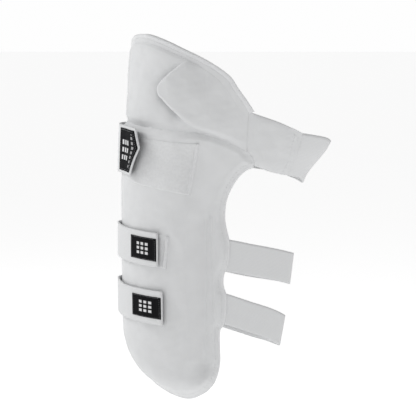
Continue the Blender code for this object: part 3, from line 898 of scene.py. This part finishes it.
def swept_piece(name, line, profile, edge_lift, material):
    """A piece swept along a line of the flat sheet.

    profile holds how far left of the line each corner is, its share of the edge's lift there, and the lift
    added to that.
    """
    left = left_of(line)
    rings = []
    for sideways, share, extra in profile:
        flat = line + left * sideways
        edge = 0 if edge_lift is None else edge_lift(flat)
        rings.append(place(flat, share * edge + extra))
    rings = np.stack(rings, axis=1)
    count, size = rings.shape[:2]
    index = np.arange(count * size).reshape(count, size)
    nearby = np.roll(index, -1, axis=1)
    sides = np.stack([index[:-1], nearby[:-1], nearby[1:], index[1:]], axis=-1).reshape(-1, 4)
    faces = [*sides, index[0][::-1], index[-1]]
    sheet = np.stack(np.meshgrid(walked(line), np.linspace(0, 0.012, size), indexing="ij"), axis=-1)
    return mesh_piece(name, rings.reshape(-1, 3), faces, sheet.reshape(-1, 2), material)


STITCH_POINTS = 10
STITCH_FACES = []  # two pointed ends, and four sides between two rings of four corners
for here, after in ((1, 2), (2, 3), (3, 4), (4, 1)):
    STITCH_FACES += [(0, after, here), (here, after, after + 4, here + 4), (here + 4, after + 4, 9)]


def stitches(name, lines, lift_at, above, pitch=0.0034, length=0.0024, radius=0.00030, material=None):
    """Rows of thread stitches along lines of the flat sheet, as one piece."""
    points, sheet = [], []
    for line in lines:
        count = max(2, int(line_length(line) / pitch))
        shares = (np.arange(count) + 0.5) / count
        half = length / line_length(line) / 2
        ends = [along(line, np.clip(shares + side * half, 0, 1)) for side in (-1, 1)]
        start, end = (place(flat, lift_at(flat) + above) for flat in ends)
        outward = unit(start * (1, 1, 0))
        across = np.cross(unit(end - start), outward)
        rings = [
            start + (end - start) * share + (across * math.cos(turn) + outward * math.sin(turn)) * radius
            for share in (0.25, 0.75)
            for turn in np.radians((0, 90, 180, 270))
        ]
        points.append(np.stack([start - outward * radius, *rings, end - outward * radius], axis=1))
        sheet.append(np.repeat(ends[0], STITCH_POINTS, axis=0))
    points = np.vstack(points)
    starts = range(0, STITCH_POINTS * len(points), STITCH_POINTS)
    faces = [[start + corner for corner in face] for start in starts for face in STITCH_FACES]
    return mesh_piece(name, points.reshape(-1, 3), faces, np.vstack(sheet), material or THREAD)


def inset_line(edges, inset):
    """A line left of a run of edges by an inset, evenly sampled."""
    run = np.vstack([edges[0], *(edge[1:] for edge in edges[1:])])
    line = along(run, np.linspace(0, 1, max(8, int(line_length(run) / 0.003))))
    return line + left_of(line) * inset


# ---- Which body a piece follows, and which nodes it stands for ----

FLEX_NORMAL = Vector((0.221, 0.007, 0.975)).normalized()  # up across the seam between the two sections
FLEX_POINT = Vector((-0.0818, -0.0737, 0.1655))
FLEX_REACH = 0.030  # how far up the hip section the bend spreads


def follow_hip(piece):
    """Bends with the hip section above the flex seam."""
    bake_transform(piece, "thigh_pad", "hip_guard", FLEX_POINT, FLEX_POINT + FLEX_NORMAL * FLEX_REACH)


def build_cover(name, flat, outer, inner, fill, *nodes):
    """A padded piece between two lifts, in the place of the frame's nodes."""
    cover = sheet_piece(name, flat, outer, inner, COVER, "cover")
    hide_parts(*nodes)
    return cover


def build_lining(section, flat, outer, inner):
    lining = sheet_piece(f"{section}_lining_towelling", flat, outer, inner, TOWEL, "lining")
    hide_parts(f"{section}_lining")
    return lining


# ---- The thigh section ----

MAIN_GRID = (170, 210)
RIM_LIFT, RIM_RADIUS, RIM_INSET = 0.0046, 0.0026, 0.0004
RIM_PROFILE = [
    (RIM_INSET + RIM_RADIUS * math.cos(turn), 0.0, RIM_LIFT + RIM_RADIUS * math.sin(turn))
    for turn in np.radians(np.arange(0, 360, 30))
]


def build_main():
    flat = MAIN.grid(*MAIN_GRID)
    faces = main_lift(flat), level(flat, LINING_TOP)
    nodes = "main_cover", "main_foam_core", "main_comfort_foam"
    cover = build_cover("main_cover_padded", flat, *faces, 0.9, *nodes)
    flat = MAIN.grid(60, 80, 0.2, margin=0.0008)
    lining = build_lining("main", flat, level(flat, LINING_TOP), level(flat, LINING_LIFT))
    rim_end = int(np.argmax(MAIN.rear[:, 0] < unrolled(RIM_END_TURN)))
    rear = MAIN.rear[: rim_end + 1]
    edges = (rear[::-1], MAIN.bottom[::-1], MAIN.front, FREE_TOP)
    rim = swept_piece("main_edge_rim", inset_line(edges, 0.0), RIM_PROFILE, None, BINDING)
    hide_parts("main_edge_binding")
    seam = stitches("main_edge_stitches", [inset_line(edges, 0.0050)], main_lift, 0.0001, radius=0.00024)
    for piece in (cover, lining, rim, seam):
        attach(piece, "thigh_pad")


build_main()

# ---- The hip section ----

TAPE_TUCK = np.array((0.00090, 0.00285))  # how far the tape's rear end is tucked in, along and down the sheet
TAPE_TUCK_LENGTH = 0.012
BOLSTER_SUNK = 0.002  # the bolster's underside, below the hip section's cover
HIP_EDGE_THICKNESS = 0.0062
HIP_TAPE_PROFILE = (  # outwards from the outline, share of the edge's lift, lift
    (-0.0052, 1.0, 0.0004), (-0.0046, 1.0, 0.0009), (-0.0020, 1.0, 0.0008), (-0.0003, 1.0, 0.0001),
    (0.0008, 1.0, -0.0010), (0.0012, 1.0, -0.0026), (0.0012, 1.0, -0.0040), (0.0006, 1.0, -0.0056),
    (-0.0010, 1.0, -0.0068), (-0.0050, 1.0, -0.0069), (-0.0052, 1.0, -0.0060), (-0.0010, 1.0, -0.0056),
)


def hip_under_lift(flat):
    """The hip section's inner side: against the leg, and standing off it towards the thin bound edge."""
    off_leg = np.maximum(hip_edge_lift(flat) - HIP_EDGE_THICKNESS - LINING_TOP, 0)
    above_seam = between(line_distance(flat, HIP.bottom), 0.004, 0.034)
    return LINING_TOP + off_leg * between(from_outline(flat), 0.026, 0.004) * above_seam


def build_hip():
    flat = HIP.grid(140, 110)
    faces = hip_lift(flat), hip_under_lift(flat)
    cover = build_cover("hip_cover_padded", flat, *faces, 0.9, "hip_cover", "hip_foam_core")
    flat = BOLSTER.grid(110, 90, 0.6)
    faces = bolster_lift(flat), hip_lift(flat) - BOLSTER_SUNK
    nodes = "hip_bolster_cover", "hip_bolster_foam"
    bolster = build_cover("hip_bolster_padded", flat, *faces, 1.0, *nodes)
    flat = HIP.grid(60, 40, 0.2, margin=0.0008)
    under = hip_under_lift(flat)
    lining = build_lining("hip", flat, under, under - LINING_TOP + LINING_LIFT)
    edges = (HIP.front, HIP.top)
    outline = inset_line(edges, 0.0)
    remaining = line_length(outline) - walked(outline)
    outline = outline - TAPE_TUCK * between(remaining, TAPE_TUCK_LENGTH, 0)[:, None]
    tape = swept_piece("hip_edge_tape", outline, HIP_TAPE_PROFILE, hip_edge_lift, BINDING)
    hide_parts("hip_edge_binding")
    seam = stitches("hip_edge_stitches", [inset_line(edges, -0.0040)], hip_edge_lift, 0.0009, radius=0.00026)
    for piece in (cover, bolster, lining, tape, seam):
        follow_hip(piece)


build_hip()

# ---- The wing ----

WING_LINING_TOP = 0.0030
WING_STITCH_ROWS = (2.3, 4.9)  # degrees from the wing's end


def follow_wing(piece):
    """Follows the hip section at the seam between them, and the thigh section at the elastic."""
    follow_hip(piece)
    count = len(piece.data.vertices)
    places, shares = np.empty(count * 3, np.float32), np.empty(count, np.float32)
    piece.data.vertices.foreach_get("co", places)
    shares_now = piece.data.attributes["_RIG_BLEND"].data
    shares_now.foreach_get("value", shares)
    places = places.reshape(-1, 3)
    turn = np.degrees(np.arctan2(-places[:, 0], -places[:, 1]))
    shares_now.foreach_set("value", (shares * between(turn, -50, -21)).astype(np.float32))


def build_wing():
    flat = WING.grid(80, 70, 0.3)
    under = WING_LINING_TOP + 0.0016 * between(turn_of(flat), -43, -46)  # over the end of the elastic
    over = np.maximum(wing_lift(flat), under + 0.0012)
    cover = build_cover("wing_cover_padded", flat, over, under, 0.4, "wing_cover", "wing_foam")
    lining = build_lining("wing", flat, level(flat, WING_LINING_TOP), level(flat, LINING_LIFT))
    rows = [WING.rear + (unrolled(degrees), 0) for degrees in WING_STITCH_ROWS]
    seam = stitches("wing_end_stitches", rows, wing_lift, 0.0001, radius=0.00026)
    for piece in (cover, lining, seam):
        follow_wing(piece)


build_wing()

# ---- Straps ----

END_RISE_DEG = 24  # the last part of a tab, where it rises
HOOK_MARGIN = 0.005  # of the tab's width, that the hooks leave bare
HOOK_FACES = (-0.0011, 0.0001)  # lifts of the hooks' two faces above the tab's inner face
LABEL_FACES = (0.0007, -0.0002)  # lifts of the label's two faces above the tab's outer face
LABEL_BORDER = 0.05  # of the label's width, out to its row of stitches
FOLD_RISE, FOLD_DEG = 0.0009, 3.2  # of a tab's folded end


def strap_grid(strap, start, end, width, step_deg=1.0, across=14, cut=(0.0, 0.0)):
    """Rows of flat points along a strap; cut draws the end's lower and upper corners back, in degrees."""
    columns = max(6, int(abs(end - start) / step_deg) + 1)
    u, v = np.meshgrid(np.linspace(0, 1, columns), np.linspace(0, 1, across))
    reach = end + np.where(v < 0.6, cut[0] * (1 - v / 0.6), cut[1] * (v - 0.6) / 0.4)
    turn = start + (reach - start) * u
    centre = smooth_table(strap["heights"], turn, 1)
    return np.stack([unrolled(turn), centre + (v - 0.5) * width], axis=-1)


def strap_lift(strap, flat):
    """The inner face of a strap: its path, and a rise at the tab's end."""
    turn = turn_of(flat)
    rise = strap["end_rise"] * between(turn, strap["end"] + END_RISE_DEG, strap["end"])
    return smooth_table(STRAP_LIFTS, turn, 1) + rise


def band_sheet(flat, strap):
    """Lengths along and across the strap, for its weave."""
    centre = smooth_table(strap["heights"], turn_of(flat), 1)
    return np.stack([flat[..., 0], flat[..., 1] - centre], axis=-1)


def band_piece(name, strap, start, end, width, below, above, material, slot, **shape):
    flat = strap_grid(strap, start, end, width, **shape)
    base = strap_lift(strap, flat)
    return sheet_piece(name, flat, base + above, base + below, material, slot, band_sheet(flat, strap))


def across_fold(piece, body_a, body_b, turn, strap, along_dir, reach=0.012):
    """Blends a strap's piece over a fold line, from one body to the next."""
    centre = float(smooth_table(strap["heights"], turn, 1))
    lift = float(smooth_table(STRAP_LIFTS, turn, 1))
    fold = Vector(place(np.array((unrolled(turn), centre)), lift))
    step = Vector(along_dir).normalized() * reach
    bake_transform(piece, body_a, body_b, fold - step, fold + step)


def build_strap(name, strap):
    ends = strap["root"], JOIN_TURN
    faces = 0, ELASTIC_THICKNESS
    width = strap["elastic_width"]
    elastic = band_piece(f"{name}_elastic_webbing_painted_rib_shade", strap, *ends, width, *faces, ELASTIC_PAINTED_RIB_SHADE, "elastic")
    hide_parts(f"{name}_elastic_back", f"{name}_elastic_front")
    across_fold(elastic, "thigh_pad", f"{name}_strap", SWING_TURN, strap, (-1, 0.3, 0))
    build_tab(name, strap)
    width, cut = strap["tab_width"] - HOOK_MARGIN, strap["end_cut"]
    # The hook tape's dark grey is painted shadow under the tab's raised end.
    hook = band_piece(f"{name}_hook_tape_painted_shadow", strap, *strap["hook"], width, *HOOK_FACES, HOOKS_PAINTED_SHADOW, "hook", cut=cut)
    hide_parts(f"{name}_hook_patch")
    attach(hook, f"{name}_tab")
    build_label(name, strap)
    build_loop_patch(name, strap)


def fold_lift(strap, flat):
    """A square tab's end is folded over, so it stands higher there."""
    turn = turn_of(flat)
    if strap["end_cut"] != (0.0, 0.0):
        return 0 * turn
    return FOLD_RISE * rounded((strap["end"] + FOLD_DEG - turn) / 0.6)


def tab_face(strap, flat):
    """The tab's outer face."""
    return strap_lift(strap, flat) + TAB_THICKNESS + fold_lift(strap, flat)


def build_tab(name, strap):
    """Webbing sewn over the elastic's end, folded over at its own end."""
    flat = strap_grid(strap, JOIN_TURN + 6, strap["end"], strap["tab_width"], 0.8, 24, strap["end_cut"])
    over_elastic = 0.0017 * between(turn_of(flat), -243, -237)
    outer, inner = tab_face(strap, flat) + over_elastic, strap_lift(strap, flat) + over_elastic
    tab = sheet_piece(f"{name}_tab_band", flat, outer, inner, ELASTIC_PAINTED_RIB_SHADE, "elastic", band_sheet(flat, strap))
    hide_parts(f"{name}_tab_webbing")
    across_fold(tab, f"{name}_strap", f"{name}_tab", PEEL_TURN, strap, (0, -1, 0), 0.010)


def build_label(name, strap):
    flat = strap_grid(strap, *strap["label"], strap["label_width"], 0.5, 30, strap["end_cut"])
    faces = [tab_face(strap, flat) + lift for lift in LABEL_FACES]
    rows, columns = flat.shape[:2]
    sheet = np.stack(np.meshgrid(np.linspace(0, 1, columns), np.linspace(0, 1, rows)), axis=-1)
    cloth = label_cloth(f"{name}_label_cloth", pointed=name == "upper")
    label = sheet_piece(f"{name}_label_woven", flat, *faces, cloth, "label", sheet)
    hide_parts(f"{name}_label")
    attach(label, f"{name}_tab")
    border = np.array((LABEL_BORDER, 1 - LABEL_BORDER))
    left, right = (border * (columns - 1)).round().astype(int)
    low, high = (border * (rows - 1)).round().astype(int)
    framed = flat[low:high, left:right]
    lines = [framed[0], flat[low:high, right], flat[high, left:right], framed[:, 0]]

    def face(at):
        return tab_face(strap, at) + LABEL_FACES[0]

    seam = stitches(f"{name}_label_stitches", lines, face, 0.0002, 0.0022, 0.0014, 0.00022, LABEL_THREAD)
    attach(seam, f"{name}_tab")


def build_loop_patch(name, strap):
    """Pile sewn to the cover, with its end folded under to a ridge."""
    (start, low), (end, high), widths, slant = strap["patch"]
    u, v = np.meshgrid(np.linspace(0, 1, 140), np.linspace(0, 1, 60))
    turn = start + (end - slant * (v - 0.5) - start) * u + 360
    centre, width = low + (high - low) * u, widths[0] + (widths[1] - widths[0]) * u
    flat = np.stack([unrolled(turn), centre + (v - 0.5) * width], axis=-1)
    length = unrolled(abs(end - start))
    edge = np.minimum(np.minimum(v, 1 - v) * width, np.minimum(u, 1 - u) * length)
    pile = 0.0001 + 0.0007 * rounded(edge / 0.0022) + 0.00006 * ripple(flat, 0.0035, 7)
    ridge = 0.0026 * crease((1 - u) * length - 0.0022, 0.0015)
    base = main_lift(flat)
    patch = sheet_piece(f"{name}_loop_pile", flat, base + pile + ridge, base - 0.0005, PILE, "patch")
    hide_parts(f"{name}_loop_patch")
    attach(patch, "thigh_pad")


for strap_name, strap in STRAPS.items():
    build_strap(strap_name, strap)

# ---- Pieces kept as in the frame ----

for node, material in (("flex_seam_strip", flex_cloth()), ("impact_plate", moulded_plate())):
    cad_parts[node].data.materials.clear()
    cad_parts[node].data.materials.append(material)

# ---- Stage, light and camera ----

CAMERA_PLACE = (-0.006, -2.0, 0.255)
CAMERA_AIM = (-0.006, 0.0, 0.062)
LENS = 143.0
FLOOR_LEVEL = -0.32
FLOOR_REACH = 300.0
HORIZON_WHITE = 0.99  # brightness of the surroundings near eye level
ZENITH_WHITE = 0.30
DIMMING = (0.16, 0.60)  # heights, as shares of straight up, between which the surroundings dim
FLOOR_GLOW = 0.625  # the floor's own light, so that it stays as pale as the surroundings
KEY_PLACE, KEY_AIM = (-1.36, 0.38, 1.24), (-0.05, -0.05, 0.10)
KEY_SIZE, KEY_POWER = 0.9, 14.0
FILL_PLACE, FILL_AIM = (0.35, -0.85, 0.95), (0.0, 0.0, 0.12)
FILL_SIZE, FILL_POWER = 0.5, 1.2


def build_stage():
    mesh = bpy.data.meshes.new("floor")
    size = FLOOR_REACH
    corners = [(-size, -size, 0), (size, -size, 0), (size, size, 0), (-size, size, 0)]
    mesh.from_pydata(corners, [], [(0, 1, 2, 3)])
    floor = new_object("floor", mesh)
    floor.location.z = FLOOR_LEVEL
    material = bpy.data.materials.new("pale_floor")
    material.use_nodes = True
    shader = material.node_tree.nodes["Principled BSDF"]
    set_inputs(shader, Base_Color=(0.8, 0.8, 0.8, 1), Roughness=1.0, Specular_IOR_Level=0.0)
    set_inputs(shader, Emission_Color=(1, 1, 1, 1), Emission_Strength=FLOOR_GLOW)
    mesh.materials.append(material)


def build_surroundings():
    """White at eye level and dimmer overhead."""
    world = bpy.data.worlds.new("studio")
    world.use_nodes = True
    tree = world.node_tree
    background = tree.nodes["Background"]
    coordinates = tree.nodes.new("ShaderNodeTexCoord")
    split = tree.nodes.new("ShaderNodeSeparateXYZ")
    ramp = tree.nodes.new("ShaderNodeMapRange")
    ramp.interpolation_type = "SMOOTHSTEP"
    set_inputs(ramp, From_Min=DIMMING[0], From_Max=DIMMING[1], To_Min=HORIZON_WHITE, To_Max=ZENITH_WHITE)
    tree.links.new(coordinates.outputs["Generated"], split.inputs["Vector"])
    tree.links.new(split.outputs["Z"], ramp.inputs["Value"])
    tree.links.new(ramp.outputs["Result"], background.inputs["Strength"])
    set_inputs(background, Color=(1, 1, 1, 1))
    bpy.context.scene.world = world


def put(item, location, aim):
    """Puts a lamp or a camera at a location, facing an aim."""
    item.location = location
    item.rotation_euler = (Vector(aim) - Vector(location)).to_track_quat("-Z", "Y").to_euler()


def area_light(name, location, aim, size, power):
    light = bpy.data.lights.new(name, "AREA")
    light.shape, light.size, light.energy = "SQUARE", size, power
    put(new_object(name, light), location, aim)


def build_camera():
    camera = new_object("camera", bpy.data.cameras.new("camera"))
    camera.data.lens = LENS
    camera.data.sensor_width = 36
    camera.data.clip_end = 1000
    put(camera, CAMERA_PLACE, CAMERA_AIM)
    bpy.context.scene.camera = camera


build_stage()
build_surroundings()
area_light("key", KEY_PLACE, KEY_AIM, KEY_SIZE, KEY_POWER)
area_light("fill", FILL_PLACE, FILL_AIM, FILL_SIZE, FILL_POWER)
bpy.context.scene.view_settings.view_transform = "Standard"
build_camera()
